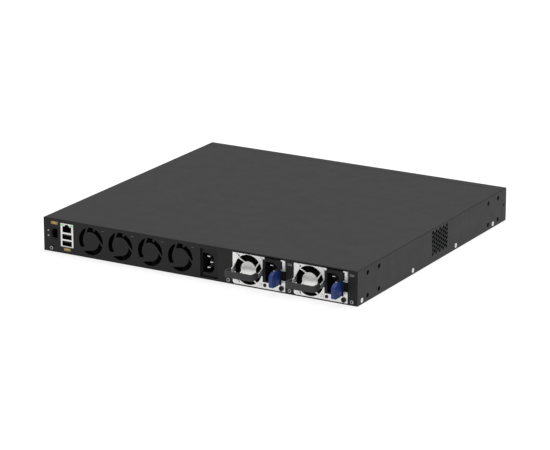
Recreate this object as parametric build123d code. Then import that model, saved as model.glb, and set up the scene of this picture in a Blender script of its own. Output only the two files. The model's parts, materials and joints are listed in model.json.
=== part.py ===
from build123d import *
import math
import os

# Rackmount network switch, 1U high, in millimetres.
# +Z is up, the port side (front) faces -Y and the fan and power side (rear) faces +Y.
# The origin is the centre of the chassis' underside.

# ---------------------------------------------------------------- chassis
WIDTH = 440.0
DEPTH = 400.0
HEIGHT = 43.2
HALF_W = WIDTH / 2
HALF_D = DEPTH / 2
COVER_T = 1.0          # top cover sheet
SHEET = 1.2            # tray, rear panel and front panel sheet
FIT = 0.1              # gap between sheets that slide into each other
COVER_BEND = 1.5       # outer bend radius of the cover
FRONT_FLANGE = 12.4    # how far the front panel folds back over the top
SEAM = 0.5             # open line between that fold and the cover
FLANGE_H = 11.0        # height of the tray's side flanges
LID_Z = HEIGHT - COVER_T
REAR_IN = HALF_D - SHEET

# ---------------------------------------------------------------- side walls
EAR_HOLE_R = 3.0
EAR_SPAN_Y = 28.2
EAR_SPAN_Z = 28.0
EAR_CENTRES_Y = (-161.8, 161.1)
EAR_CENTRE_Z = 21.2
PIN_HOLE = (-193.2, 22.0)
PIN_HOLE_R = 1.8
VENT_PITCH = 5.44
VENT_HEX = 4.5         # across flats
VENT_COLUMNS = 9
VENT_ROWS = 6
VENT_START_Y = -30.6
VENT_LOW_Z = 11.1
SIDE_SCREWS_Y = (-162.0, -56.5, 59.2, 189.0)
SIDE_SCREW_Z = 4.8
SIDE_HEAD_R = 2.9
REAR_SCREWS_X = (208.2, -45.8, -129.65, -213.0)
REAR_SCREW_Z = 4.9
REAR_HEAD_R = 2.4
REAR_SOCKET_R = 1.25
THREAD_R = 1.45
THREAD_HOLE_R = 1.5

# ---------------------------------------------------------------- system fans
FANS_X = (150.6, 107.7, 64.8, 21.9)
FAN_Z = 21.6
FAN_SIDE = 40.0
FAN_LENGTH = 28.0
FAN_FRONT = 198.6 - FAN_LENGTH
FAN_BORE_R = 19.0
FAN_BOLT = 16.0
GRILLE_R = 17.5
GRILLE_HUB_R = 11.7
# The three bars of a punched grille: direction in degrees and width. Each touches the hub disc's edge.
GRILLE_BARS = ((70, 2.4), (310, 2.4), (190, 5.4))

# ---------------------------------------------------------------- rear ports
JACK_X = (176.1, 194.6)
JACK_Z = (8.9, 38.7)
JACK_FRONT = 178.0
JACK_WALL = 0.6
JACK_PROUD = 0.6
JACK_OPENING = (12.9, 7.6)     # the rear network jack: width and height of its opening
JACK_STEPS = ((7.0, 1.4), (4.4, 1.2))
JACK_BOTTOM = 27.4
USB_W = 14.0
USB_H = 6.6
USB_Z = (13.3, 21.9)
RJ_W = 11.7            # every other modular jack
RJ_H = 6.9
RJ_STEPS = ((6.2, 1.2), (4.0, 1.1))
CONSOLE_X = (199.0, 209.0)
CONSOLE_Z = (16.0, 32.0)
CONSOLE_FRONT = 184.0
STATUS_LIGHTS = ((213.0, 26.8), (213.0, 20.1))
LIGHT_R = 1.1
LABELS = ((204.0, 37.4, 9.8, 3.8), (185.6, 5.5, 9.8, 3.8))
LABEL_T = 0.25

# ---------------------------------------------------------------- mains inlets
INLET_W = 24.3         # opening, long side (upright)
INLET_H = 16.2         # opening, short side
INLET_CHAMFER = 4.6
INLET_DEPTH = 16.0
BLADE = (4.0, 2.0)     # blade section, X by Z
BLADE_STEP = 7.0       # blade spacing along the long side
BLADE_OFFSET = 2.0     # line and earth blades stand this far each side of the middle
POCKET_X = (-30.7, -6.3)
POCKET_Z = (2.6, 38.0)
POCKET_D = 2.5
INLET_X = -16.1
INLET_Z = 20.1

# ---------------------------------------------------------------- power supplies
SUPPLY_X = (-51.4, -134.9)      # each supply's edge nearest the fans
SUPPLY_W = 71.8
SUPPLY_Z = (1.6, 41.0)
ROOF_SETBACK = 4.0              # the case's and the cage's roofs stop this far short of the rear
SUPPLY_Y = (14.0, 199.0)
SUPPLY_GAP = 0.5
CASE_T = 0.7
FACE_T = 1.0
FACE_Z = (1.6, 40.4)
FACE_SPLIT = 41.0               # width of the fan half of the face
FACE_TAB = 2.6                  # the square tab at the top of the fan half, over the inlet's rim
FACE_Y = SUPPLY_Y[1]
SUPPLY_FAN_X = 21.6             # fan centre from the supply's edge
SUPPLY_FAN_Z = 21.3
SUPPLY_FAN_SIDE = 37.6
SUPPLY_FAN_BORE_R = 17.9
SUPPLY_FAN_BOLT = 16.0
FAN_SCREW_HEAD = (2.3, 0.9)     # radius and height
CORNER_SCREW = (66.8, 5.4)      # the black screw below the latch, from the supply's edge, and its height
CORNER_SCREW_HEAD = (3.2, 1.5)
FACE_LAMP = (44.1, 5.7)         # the status lamp below the inlet
FACE_LAMP_R = 2.2
FACE_SLITS = ((8.9, 37.6), (8.9, 5.0))
FACE_SLIT_SIZE = (1.2, 2.4)
GUARD_R = 18.6
GUARD_HUB_R = 10.4
GUARD_SPOKES = (115, 17, 287, 197)
GUARD_SWEEP = 21
GUARD_SPOKE_W = 1.5
GUARD_DOME = 2.0
INLET_RIM_Z = (9.4, 39.6)
SUPPLY_INLET_X = 52.7           # inlet centre from the supply's edge
SUPPLY_INLET_Z = 23.2
BEZEL_END = 66.4
BRACKET_X = (67.9, 71.2)
BRACKET_Z = (27.2, 40.4)
BRACKET_TAB = (2.0, 1.4)        # reach and height of its two tabs
SLOT_X = 61.7                   # the slot's side towards the inlet, from the supply's edge
SLOT_Z = (10.0, 27.0)
HANDLE_X = (2.2, 41.5)
HANDLE_OUT = 25.8
HANDLE_Z = (16.6, 24.4)
HANDLE_T = 2.2
HANDLE_R = 5.0
HANDLE_GRIP = 11.0              # the grip starts this far out along its lugs
LUG_T = 1.2
LATCH_OUT = 20.8
LATCH_PIVOT = (68.9, 196.0)
LATCH_PIN_R = 1.0
LATCH_HOLE_R = 1.05
LATCH_BOSS_R = 1.9
LATCH_ARM_Z = (15.0, 26.0)

# ---------------------------------------------------------------- boards
BOARD_T = 1.6
BOARD_Z = 7.2
BOARD_TOP = BOARD_Z + BOARD_T
PORT_ROWS = 2
PORT_COLUMNS = 6
COPPER_PITCH = 14.0
COPPER_X = -196.0
COPPER_Z = (BOARD_TOP, 34.6)
COPPER_DEPTH = 24.0
FIBER_PITCH = 15.2
FIBER_X = 96.0
FIBER_Z = (BOARD_TOP, 31.8)
FIBER_DEPTH = 50.0
FIBER_OPENING = (13.9, 9.2)
BUTTON_R = 1.9
BUTTON_HOLE_R = 2.0
BUTTONS = (("mode_button", 40.0), ("reset_button", 58.0))
BUTTON_Z = 13.0
BACKPLANE_Y = 4.0
SUPPLY_BOARD_Z = 4.6
CAGE_ROOF_Z = (41.3, 42.0)
SWITCH_CHIP_H = 3.0
PORT_CHIP_H = 1.6


# ---------------------------------------------------------------- helpers
def block(x, y, z):
    """A box between two limits on each axis."""
    centre = ((x[0] + x[1]) / 2, (y[0] + y[1]) / 2, (z[0] + z[1]) / 2)
    return Pos(*centre) * Box(x[1] - x[0], y[1] - y[0], z[1] - z[0])


def rod(radius, start, end, axis):
    """A cylinder along one axis, from start, of a length up to end's coordinate on that axis."""
    turn = {"x": Rot(0, 90, 0), "y": Rot(-90, 0, 0), "z": Rot(0, 0, 0)}[axis]
    index = "xyz".index(axis)
    length = end - start[index]
    middle = list(start)
    middle[index] = start[index] + length / 2
    return Pos(*middle) * turn * Cylinder(radius, abs(length))


def wall_plane(y):
    """A drawing plane at Y = y, with its x along +X, its y along +Z, extruding towards -Y."""
    return Plane((0, y, 0), x_dir=(1, 0, 0), z_dir=(0, -1, 0))


def punch(face, y_from, y_to):
    """A drawing in X and Z, extruded between two Y limits."""
    return extrude(wall_plane(y_to) * face, amount=y_to - y_from)


def write(node, pieces):
    """Writes one sub-part: a single solid, or a group of separate solids."""
    shape = Compound(children=list(pieces)) if isinstance(pieces, (list, tuple)) else pieces
    export_step(shape, "parts/" + node + ".step")


# ---------------------------------------------------------------- chassis pieces
def ear_holes(height_limit):
    """The round holes of the rack-ear groups, through both side walls."""
    holes = []
    for centre_y in EAR_CENTRES_Y:
        for side_y in (-1, 1):
            for side_z in (-1, 1):
                y = centre_y + side_y * EAR_SPAN_Y / 2
                z = EAR_CENTRE_Z + side_z * EAR_SPAN_Z / 2
                if z < height_limit:
                    holes.append(rod(EAR_HOLE_R, (-HALF_W - 1, y, z), HALF_W + 1, "x"))
    return holes


def vent_holes():
    """The staggered hexagonal holes of the side vents, through both side walls."""
    holes = []
    corner_r = VENT_HEX / math.sqrt(3)
    for column in range(VENT_COLUMNS):
        odd = column % 2
        y = VENT_START_Y + column * VENT_PITCH * math.sqrt(3) / 2
        for row in range(VENT_ROWS - odd):
            z = VENT_LOW_Z + (row + odd / 2) * VENT_PITCH
            plane = Plane((-HALF_W - 1, y, z), x_dir=(0, 1, 0), z_dir=(1, 0, 0))
            holes.append(extrude(plane * RegularPolygon(corner_r, 6), amount=WIDTH + 2))
    return holes


def top_cover():
    start_y = -HALF_D + FRONT_FLANGE + SEAM
    outer = block((-HALF_W, HALF_W), (start_y, HALF_D), (0, HEIGHT))
    outer = fillet(outer.edges().filter_by(Axis.Y).group_by(Axis.Z)[-1], COVER_BEND)
    inside = HALF_W - COVER_T
    inner = block((-inside, inside), (start_y - 1, HALF_D + 1), (-5, LID_Z))
    inner = fillet(inner.edges().filter_by(Axis.Y).group_by(Axis.Z)[-1], COVER_BEND - COVER_T)
    screw_holes = []
    for y in SIDE_SCREWS_Y:
        screw_holes.append(rod(SIDE_HEAD_R + FIT, (-HALF_W - 1, y, SIDE_SCREW_Z), HALF_W + 1, "x"))
    return outer - inner - vent_holes() - ear_holes(HEIGHT) - screw_holes


def rear_tab(x):
    """An upright tab of the tray that a rear screw threads into."""
    half = 3.8
    return block((x - half, x + half), (REAR_IN - FIT - SHEET, REAR_IN - FIT), (0, FLANGE_H))


def base_tray():
    side = HALF_W - COVER_T - FIT
    length = (-HALF_D + SHEET + FIT, REAR_IN - FIT)
    tray = block((-side, side), length, (0, SHEET))
    for sign in (-1, 1):
        wall = sorted((sign * side, sign * (side - SHEET)))
        tray += block(wall, length, (0, FLANGE_H))
    for x in REAR_SCREWS_X:
        tray += rear_tab(x)
        tray -= rod(THREAD_HOLE_R, (x, REAR_IN - 5, REAR_SCREW_Z), HALF_D, "y")
    holes = ear_holes(FLANGE_H)
    for y in SIDE_SCREWS_Y:
        holes.append(rod(THREAD_HOLE_R, (-HALF_W - 1, y, SIDE_SCREW_Z), HALF_W + 1, "x"))
    return tray - holes


def grille_drawing(x):
    """The punched opening of a system fan's grille: a ring cut by three bars, with a lug in its rim."""
    opening = Circle(GRILLE_R) - Circle(GRILLE_HUB_R)
    for angle, width in GRILLE_BARS:
        bar = Pos(GRILLE_R, GRILLE_HUB_R - width / 2) * Rectangle(2 * GRILLE_R, width)
        opening -= Rot(0, 0, angle) * bar
    rim_lug = Pos(GRILLE_R - 0.8, 0) * Rectangle(4.6, 3.0)
    opening -= Rot(0, 0, 72) * rim_lug
    return Pos(x, FAN_Z) * mirror(opening, about=Plane.YZ)


def inlet_drawing(x, z):
    """An upright appliance inlet opening: a rectangle with its two corners towards -X cut off."""
    outline = Rectangle(INLET_H, INLET_W)
    corners = outline.vertices().group_by(Axis.X)[0]
    return Pos(x, z) * chamfer(corners, INLET_CHAMFER)


def rj_drawing(x, bottom, sign=1, size=(RJ_W, RJ_H), steps=RJ_STEPS):
    """A modular jack opening with its two-step latch notch above (sign 1) or below (sign -1)."""
    opening = Pos(x, bottom + size[1] / 2) * Rectangle(*size)
    edge = bottom + size[1] if sign > 0 else bottom
    for width, height in steps:
        opening += Pos(x, edge + sign * height / 2) * Rectangle(width, height)
        edge += sign * height
    return opening


def rear_jack_drawing():
    return rj_drawing(sum(JACK_X) / 2, JACK_BOTTOM, size=JACK_OPENING, steps=JACK_STEPS)


def rectangle_between(x, z):
    return Pos((x[0] + x[1]) / 2, (z[0] + z[1]) / 2) * Rectangle(x[1] - x[0], z[1] - z[0])


def rear_panel():
    side = HALF_W - COVER_T - FIT
    panel = block((-side, side), (REAR_IN, HALF_D), (0, LID_Z - FIT))
    upright = panel.edges().filter_by(Axis.Z).group_by(Axis.Y)[-1]
    panel = fillet(upright, SHEET * 0.6)
    for sign in (-1, 1):
        wall = sorted((sign * side, sign * (side - SHEET)))
        panel += block(wall, (REAR_IN - 6, REAR_IN), (FLANGE_H + 1, LID_Z - 2))
    pocket_out = block(
        (POCKET_X[0] - SHEET, POCKET_X[1] + SHEET),
        (HALF_D - POCKET_D - 2, REAR_IN),
        (POCKET_Z[0] - SHEET, POCKET_Z[1] + SHEET),
    )
    panel += pocket_out
    windows = [rectangle_between(POCKET_X, POCKET_Z)]
    jack_window_x = (JACK_X[0] - FIT, JACK_X[1] + FIT)
    windows.append(rectangle_between(jack_window_x, (JACK_Z[0] - FIT, JACK_Z[1] + FIT)))
    windows.append(rectangle_between(CONSOLE_X, CONSOLE_Z))
    for edge in SUPPLY_X:
        low = edge - SUPPLY_W - SUPPLY_GAP
        windows.append(rectangle_between((low, edge + SUPPLY_GAP), (SHEET, SUPPLY_Z[1] + SUPPLY_GAP)))
    for x in FANS_X:
        windows.append(grille_drawing(x))
    for x, z in STATUS_LIGHTS:
        windows.append(Pos(x, z) * Circle(LIGHT_R + FIT / 2))
    for x in REAR_SCREWS_X:
        windows.append(Pos(x, REAR_SCREW_Z) * Circle(THREAD_HOLE_R))
    cuts = [punch(window, HALF_D - 10, HALF_D + 1) for window in windows]
    return panel - cuts


def front_panel():
    side = HALF_W
    front = block((-side, side), (-HALF_D, -HALF_D + FRONT_FLANGE), (0, HEIGHT))
    front = fillet(front.edges().filter_by(Axis.Y).group_by(Axis.Z)[-1], COVER_BEND)
    hollow = block(
        (-side + COVER_T, side - COVER_T), (-HALF_D + SHEET, -HALF_D + FRONT_FLANGE + 1), (-5, LID_Z)
    )
    front -= hollow
    windows = [
        rectangle_between((COPPER_X - 0.2, COPPER_X + PORT_COLUMNS * COPPER_PITCH + 0.2), COPPER_Z),
        rectangle_between((FIBER_X - 0.2, FIBER_X + PORT_COLUMNS * FIBER_PITCH + 0.2), FIBER_Z),
    ]
    for x, z in front_lights():
        windows.append(Pos(x, z) * Circle(LIGHT_R + FIT / 2))
    for _, x in BUTTONS:
        windows.append(Pos(x, BUTTON_Z) * Circle(BUTTON_HOLE_R))
    cuts = [punch(window, -HALF_D - 1, -HALF_D + SHEET + 1) for window in windows]
    cuts.append(rod(PIN_HOLE_R, (-HALF_W - 1, *PIN_HOLE), HALF_W + 1, "x"))
    return front - cuts


def front_lights():
    """Centres of the front light pipes: two above each port column, and a short column of status lights."""
    places = []
    for column in range(PORT_COLUMNS):
        for side in (-3.2, 3.2):
            places.append((COPPER_X + (column + 0.5) * COPPER_PITCH + side, COPPER_Z[1] + 2.6))
            places.append((FIBER_X + (column + 0.5) * FIBER_PITCH + side, FIBER_Z[1] + 3.0))
    for row in range(4):
        places.append((24.0, 12.0 + 6.0 * row))
    return places


def light_pipes():
    pipes = []
    for x, z in STATUS_LIGHTS:
        pipes.append(rod(LIGHT_R, (x, HALF_D - 10, z), HALF_D + 0.4, "y"))
    for x, z in front_lights():
        pipes.append(rod(LIGHT_R, (x, -HALF_D - 0.2, z), -HALF_D + 6, "y"))
    return pipes


def cross_recess(depth):
    """The cross cut into a screw head, along +Z from z = 0."""
    arm = 0.8
    span = 3.0
    return [Box(span, arm, 2 * depth), Box(arm, span, 2 * depth)]


def flush_screw():
    """A countersunk cover screw, its head's face at z = 0, pointing down."""
    head = 1.0
    screw = Pos(0, 0, -head / 2) * Cylinder(SIDE_HEAD_R, head)
    screw += Pos(0, 0, -head - 2.5) * Cylinder(THREAD_R, 5)
    return screw - cross_recess(0.6)


def pan_screw():
    """A pan-head panel screw, the underside of its head at z = 0, pointing down."""
    head = 1.7
    screw = Pos(0, 0, head / 2) * Cylinder(REAR_HEAD_R, head)
    screw = fillet(screw.edges().sort_by(Axis.Z)[-1], 0.7)
    screw += Pos(0, 0, -3) * Cylinder(THREAD_R, 6)
    return screw - Pos(0, 0, head) * Cylinder(REAR_SOCKET_R, 1.6)


def cover_screws():
    screws = []
    for y in SIDE_SCREWS_Y:
        screws.append(Pos(HALF_W, y, SIDE_SCREW_Z) * Rot(0, 90, 0) * flush_screw())
        screws.append(Pos(-HALF_W, y, SIDE_SCREW_Z) * Rot(0, -90, 0) * flush_screw())
    return screws


def rear_screws():
    return [Pos(x, HALF_D, REAR_SCREW_Z) * Rot(-90, 0, 0) * pan_screw() for x in REAR_SCREWS_X]


# ---------------------------------------------------------------- fans
def fan_frame(x, z, y0, side, length, bore_r, bolt):
    """A square fan housing with its stator, open towards the rear."""
    half = side / 2
    frame = block((x - half, x + half), (y0, y0 + length), (z - half, z + half))
    frame = fillet(frame.edges().filter_by(Axis.Y), 2.0)
    frame -= rod(bore_r, (x, y0 - 1, z), y0 + length + 1, "y")
    hub = rod(bore_r * 0.58, (x, y0, z), y0 + 3, "y")
    strut = Box(2.2, 2.4, 2 * bore_r + 1)
    for turn in (35, 125):
        hub += Pos(x, y0 + 1.2, z) * Rot(0, turn, 0) * strut
    stator = rod(bore_r * 0.44, (x, y0 + 3, z), y0 + length * 0.62, "y")
    frame = frame + hub + stator
    frame -= rod(1.55, (x, y0 - 1, z), y0 + length, "y")
    for sx in (-bolt, bolt):
        for sz in (-bolt, bolt):
            frame -= rod(1.7, (x + sx, y0 - 1, z + sz), y0 + length + 1, "y")
    return frame


def fan_rotor(x, z, y0, length, bore_r, blades):
    """A cup-shaped hub with pitched blades and its shaft, running in the housing's stator."""
    hub_r = bore_r * 0.6
    cup_y = (y0 + 4, y0 + length - 2)
    cup = rod(hub_r, (x, cup_y[0], z), cup_y[1], "y")
    cup -= rod(bore_r * 0.48, (x, cup_y[0] - 1, z), cup_y[1] - 2, "y")
    tip_r = bore_r - 0.6
    reach = tip_r + 2 - hub_r + 1
    blade = Pos(0, 0, hub_r - 1 + reach / 2) * Rot(0, 0, 38) * Box(1.2, (cup_y[1] - cup_y[0]) * 1.05, reach)
    middle = (cup_y[0] + cup_y[1]) / 2
    ring = None
    for number in range(blades):
        piece = Pos(x, middle, z) * Rot(0, number * 360 / blades, 0) * blade
        ring = piece if ring is None else ring + piece
    limit = rod(tip_r, (x, cup_y[0], z), cup_y[1], "y")
    limit -= rod(hub_r - 0.5, (x, cup_y[0] - 1, z), cup_y[1] + 1, "y")
    shaft = rod(1.5, (x, y0 + 1, z), cup_y[1] - 1, "y")
    return cup + (ring & limit) + shaft


# ---------------------------------------------------------------- rear ports
def rear_port_shell():
    front = (JACK_FRONT, HALF_D + JACK_PROUD)
    shell = block(JACK_X, front, JACK_Z)
    inner_x = (JACK_X[0] + JACK_WALL, JACK_X[1] - JACK_WALL)
    inner_z = (JACK_Z[0] - 1, JACK_Z[1] - JACK_WALL)
    shell -= block(inner_x, (front[0] - 1, front[1] - JACK_WALL), inner_z)
    middle = sum(JACK_X) / 2
    windows = [rear_jack_drawing()]
    for z in USB_Z:
        windows.append(Pos(middle, z) * Rectangle(USB_W, USB_H))
    return shell - [punch(window, front[1] - 2, front[1] + 1) for window in windows]


def rear_port_housing():
    middle = sum(JACK_X) / 2
    x = (JACK_X[0] + JACK_WALL, JACK_X[1] - JACK_WALL)
    y = (JACK_FRONT + 0.5, HALF_D + JACK_PROUD - JACK_WALL)
    housing = block(x, y, (JACK_Z[0], JACK_Z[1] - JACK_WALL))
    housing -= punch(rear_jack_drawing(), y[1] - 13, y[1] + 1)
    for z in USB_Z:
        housing -= punch(Pos(middle, z) * Rectangle(USB_W, USB_H), y[1] - 12, y[1] + 1)
        housing += block((middle - 6.0, middle + 6.0), (y[1] - 12.5, y[1] - 1.5), (z + 0.3, z + 2.1))
    contacts = 8
    contact_z = (JACK_BOTTOM, JACK_BOTTOM + 0.8)
    for number in range(contacts):
        x_pin = middle + (number - (contacts - 1) / 2) * 1.02
        housing += block((x_pin - 0.25, x_pin + 0.25), (y[1] - 13.5, y[1] - 4), contact_z)
    return housing


def console_port():
    """A second modular jack, turned on its side, with its latch notch towards +X."""
    housing = block(CONSOLE_X, (CONSOLE_FRONT, HALF_D - 0.3), CONSOLE_Z)
    low = CONSOLE_X[0] + 0.9
    middle = sum(CONSOLE_Z) / 2
    cavity = rectangle_between((low, low + RJ_H), (middle - RJ_W / 2, middle + RJ_W / 2))
    cavity += rectangle_between((low + RJ_H, low + RJ_H + 1.2), (middle - 3.1, middle + 3.1))
    return housing - punch(cavity, HALF_D - 13, HALF_D + 1)


def port_labels():
    labels = []
    for x, z, width, height in LABELS:
        middle_y = HALF_D + LABEL_T / 2
        labels.append(Pos(x, middle_y, z) * Box(width, LABEL_T, height))
    return labels


# ---------------------------------------------------------------- mains inlets
def inlet_blades(x, z, y0, y1):
    """Line, neutral and earth blades of an inlet whose cut corners point to -X."""
    blades = []
    for step, side in ((-1, 1), (0, -1), (1, 1)):
        centre_x = x + side * BLADE_OFFSET
        centre_z = z + step * BLADE_STEP
        blade = block(
            (centre_x - BLADE[0] / 2, centre_x + BLADE[0] / 2),
            (y0, y1),
            (centre_z - BLADE[1] / 2, centre_z + BLADE[1] / 2),
        )
        blade = chamfer(blade.faces().sort_by(Axis.Y)[-1].edges(), 0.5)
        blades.append(blade)
    return blades


def inlet_well(x, z, y_mouth):
    """The moulded well behind an inlet's opening, before its cavity is cut."""
    wall = 1.3
    half_x = INLET_H / 2 + wall
    half_z = INLET_W / 2 + wall
    bottom = y_mouth - INLET_DEPTH - 1.5
    return block((x - half_x, x + half_x), (bottom, y_mouth), (z - half_z, z + half_z))


def power_inlet():
    mouth = HALF_D - POCKET_D
    flange_t = 2.0
    flange = block(
        (POCKET_X[0] + FIT, POCKET_X[1] - FIT),
        (mouth - flange_t, mouth),
        (POCKET_Z[0] + FIT, POCKET_Z[1] - FIT),
    )
    body = flange + inlet_well(INLET_X, INLET_Z, mouth - flange_t / 2)
    body -= punch(inlet_drawing(INLET_X, INLET_Z), mouth - INLET_DEPTH, mouth + 1)
    blades = inlet_blades(INLET_X, INLET_Z, mouth - INLET_DEPTH - 8, mouth - 4)
    return body - blades


def power_inlet_pins():
    mouth = HALF_D - POCKET_D
    return inlet_blades(INLET_X, INLET_Z, mouth - INLET_DEPTH - 8, mouth - 4)


# ---------------------------------------------------------------- power supplies
def guard_drawing(x):
    """The four openings of a supply's fan guard, between a hub disc and four swept spokes."""
    opening = Circle(GUARD_R) - Circle(GUARD_HUB_R)
    for angle in GUARD_SPOKES:
        inner = math.radians(angle)
        outer = math.radians(angle + GUARD_SWEEP)
        start = Vector(math.cos(inner), math.sin(inner)) * (GUARD_HUB_R - 1)
        end = Vector(math.cos(outer), math.sin(outer)) * (GUARD_R + 1)
        direction = math.degrees(math.atan2(end.Y - start.Y, end.X - start.X))
        spoke = Rectangle((end - start).length, GUARD_SPOKE_W)
        middle = (start + end) * 0.5
        opening -= Pos(middle.X, middle.Y) * Rot(0, 0, direction) * spoke
    mirrored = mirror(opening, about=Plane.YZ)
    return Pos(x, SUPPLY_FAN_Z) * mirrored


def supply_case(edge):
    """The sheet-metal case of a supply, open at the rear, with the latch slot and the inlet's bracket."""
    x = (edge - SUPPLY_W, edge)
    case = block(x, SUPPLY_Y, SUPPLY_Z)
    inner_x = (x[0] + CASE_T, x[1] - CASE_T)
    inner_z = (SUPPLY_Z[0] + CASE_T, SUPPLY_Z[1] - CASE_T)
    case -= block(inner_x, (SUPPLY_Y[0] + CASE_T, SUPPLY_Y[1] + 1), inner_z)
    beyond = (x[0] - 1, x[1] + 1)
    latch_slot = block((x[0] - 1, x[0] + 2), (176.0, SUPPLY_Y[1] + 1), (SLOT_Z[0] + 4.0, SLOT_Z[1]))
    board_window = block((x[0] + 8, x[1] - 8), (SUPPLY_Y[0] - 1, SUPPLY_Y[0] + 2), (4.0, 36.0))
    roof_edge = block(beyond, (SUPPLY_Y[1] - ROOF_SETBACK, SUPPLY_Y[1] + 1), (inner_z[1], SUPPLY_Z[1] + 1))
    return case - latch_slot - board_window - roof_edge + supply_bracket(edge)


def supply_bracket(edge):
    """The case's bright flange beside the inlet, folded from its side wall, with a tab at each end."""
    x = (edge - BRACKET_X[1], edge - BRACKET_X[0])
    reach, height = BRACKET_TAB
    low, high = BRACKET_Z
    bracket = block(x, (FACE_Y, FACE_Y + FACE_T), BRACKET_Z)
    bracket += block((edge - SUPPLY_W, x[1]), (FACE_Y - 1.5, FACE_Y), (low, high - height))
    for z in ((low, low + height), (high - height, high)):
        bracket += block((x[1], x[1] + reach), (FACE_Y, FACE_Y + FACE_T), z)
    return bracket


def lug_drawing(side):
    """One handle lug seen from the side, in Y (out of the face) and Z."""
    low, high = HANDLE_Z
    out = HANDLE_GRIP + 2.0
    top = high + 2.4 if side == "left" else high + 1.0
    return Polyline((0, low), (out, low + 1.2), (out, high - 2.2), (8.5, high - 2.2), (0, top), close=True)


def handle_lug(edge, x, side):
    outline = make_face(lug_drawing(side))
    plane = Plane((edge - x - LUG_T / 2, FACE_Y + FACE_T, 0), x_dir=(0, 1, 0), z_dir=(1, 0, 0))
    return extrude(plane * outline, amount=LUG_T)


def supply_face(edge):
    """The bright face plate: fan guard, a strip below the inlet and latch, and the handle lugs."""
    y = (FACE_Y, FACE_Y + FACE_T)
    split = edge - FACE_SPLIT
    fan_half = rectangle_between((split, edge), FACE_Z)
    corner = fan_half.vertices().group_by(Axis.X)[-1].sort_by(Axis.Y)[0]
    face = fillet(corner, 3.0)
    face += rectangle_between((split - FACE_TAB, split), (FACE_Z[1] - FACE_TAB, FACE_Z[1]))
    face += rectangle_between((edge - SUPPLY_W, split), (FACE_Z[0], INLET_RIM_Z[0] - FIT))
    face += rectangle_between((edge - SUPPLY_W, edge - BEZEL_END - FIT), (FACE_Z[0], SLOT_Z[0] + 5.4))
    plate = punch(face, *y)
    centre_x = edge - SUPPLY_FAN_X
    cuts = [punch(guard_drawing(centre_x), y[0] - 1, y[1] + 1)]
    for x, z in FACE_SLITS:
        cuts.append(punch(Pos(edge - x, z) * Rectangle(*FACE_SLIT_SIZE), y[0] - 1, y[1] + 1))
    for x, z in fan_bolts(centre_x) + [(edge - CORNER_SCREW[0], CORNER_SCREW[1])]:
        cuts.append(rod(THREAD_HOLE_R, (x, y[0] - 1, z), y[1] + 1, "y"))
    cuts.append(rod(FACE_LAMP_R + FIT / 2, (edge - FACE_LAMP[0], y[0] - 1, FACE_LAMP[1]), y[1] + 1, "y"))
    plate -= cuts
    dome_r = (GUARD_HUB_R ** 2 + GUARD_DOME ** 2) / (2 * GUARD_DOME)
    cap = Pos(centre_x, y[1] + GUARD_DOME - dome_r, SUPPLY_FAN_Z) * Sphere(dome_r)
    cap &= rod(GUARD_HUB_R, (centre_x, y[1], SUPPLY_FAN_Z), y[1] + 5, "y")
    plate += cap
    for x, side in ((HANDLE_X[0] + HANDLE_T / 2, "left"), (HANDLE_X[1] - HANDLE_T / 2, "right")):
        plate += handle_lug(edge, x, side)
    return plate


def fan_bolts(centre_x):
    """Centres of the four screws that hold a supply's fan."""
    steps = (-SUPPLY_FAN_BOLT, SUPPLY_FAN_BOLT)
    return [(centre_x + step_x, SUPPLY_FAN_Z + step_z) for step_x in steps for step_z in steps]


def face_screw(x, z, head, length):
    """A round-head screw on the face plate, with a socket in its head."""
    seat = FACE_Y + FACE_T
    radius, height = head
    screw = rod(radius, (x, seat, z), seat + height, "y")
    screw = fillet(screw.edges().sort_by(Axis.Y)[-1], height * 0.4)
    screw += rod(THREAD_R, (x, seat - length, z), seat, "y")
    return screw - rod(radius * 0.4, (x, seat + height * 0.35, z), seat + height + 1, "y")


def supply_screws(edge):
    """The fan screws, the larger screw below the latch, the lens of the status lamp and the latch's pin."""
    pieces = [face_screw(x, z, FAN_SCREW_HEAD, 5.0) for x, z in fan_bolts(edge - SUPPLY_FAN_X)]
    pieces.append(face_screw(edge - CORNER_SCREW[0], CORNER_SCREW[1], CORNER_SCREW_HEAD, 7.0))
    lens = rod(FACE_LAMP_R, (edge - FACE_LAMP[0], FACE_Y - 3, FACE_LAMP[1]), FACE_Y + FACE_T + 0.7, "y")
    pieces.append(fillet(lens.edges().sort_by(Axis.Y)[-1], 0.5))
    pieces.append(supply_latch_pin(edge))
    return pieces


def supply_inlet(edge):
    """The black inlet moulding: its rim fills the middle of the face."""
    centre_x = edge - SUPPLY_INLET_X
    y = (FACE_Y - 3.0, FACE_Y + FACE_T - 0.2)
    split = edge - FACE_SPLIT
    slot_side = edge - SLOT_X
    slot_z = (SLOT_Z[0] - 1, SLOT_Z[1])
    rim = block((edge - BEZEL_END, split - FIT), y, INLET_RIM_Z)
    tab_x = (split - FACE_TAB - 2 * FIT, split + 1)
    rim -= block(tab_x, (FACE_Y - FIT, y[1] + 1), (FACE_Z[1] - FACE_TAB - 2 * FIT, FACE_Z[1]))
    body = rim + inlet_well(centre_x, SUPPLY_INLET_Z, FACE_Y - 1.5)
    body -= block((slot_side - 9, slot_side), (FACE_Y - INLET_DEPTH - 6, y[1] + 1), slot_z)
    body -= punch(inlet_drawing(centre_x, SUPPLY_INLET_Z), FACE_Y - INLET_DEPTH, y[1] + 1)
    return body - supply_bracket(edge) - supply_inlet_pins(edge)


def supply_inlet_pins(edge):
    return inlet_blades(edge - SUPPLY_INLET_X, SUPPLY_INLET_Z, FACE_Y - INLET_DEPTH - 8, FACE_Y - 3.6)


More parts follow.
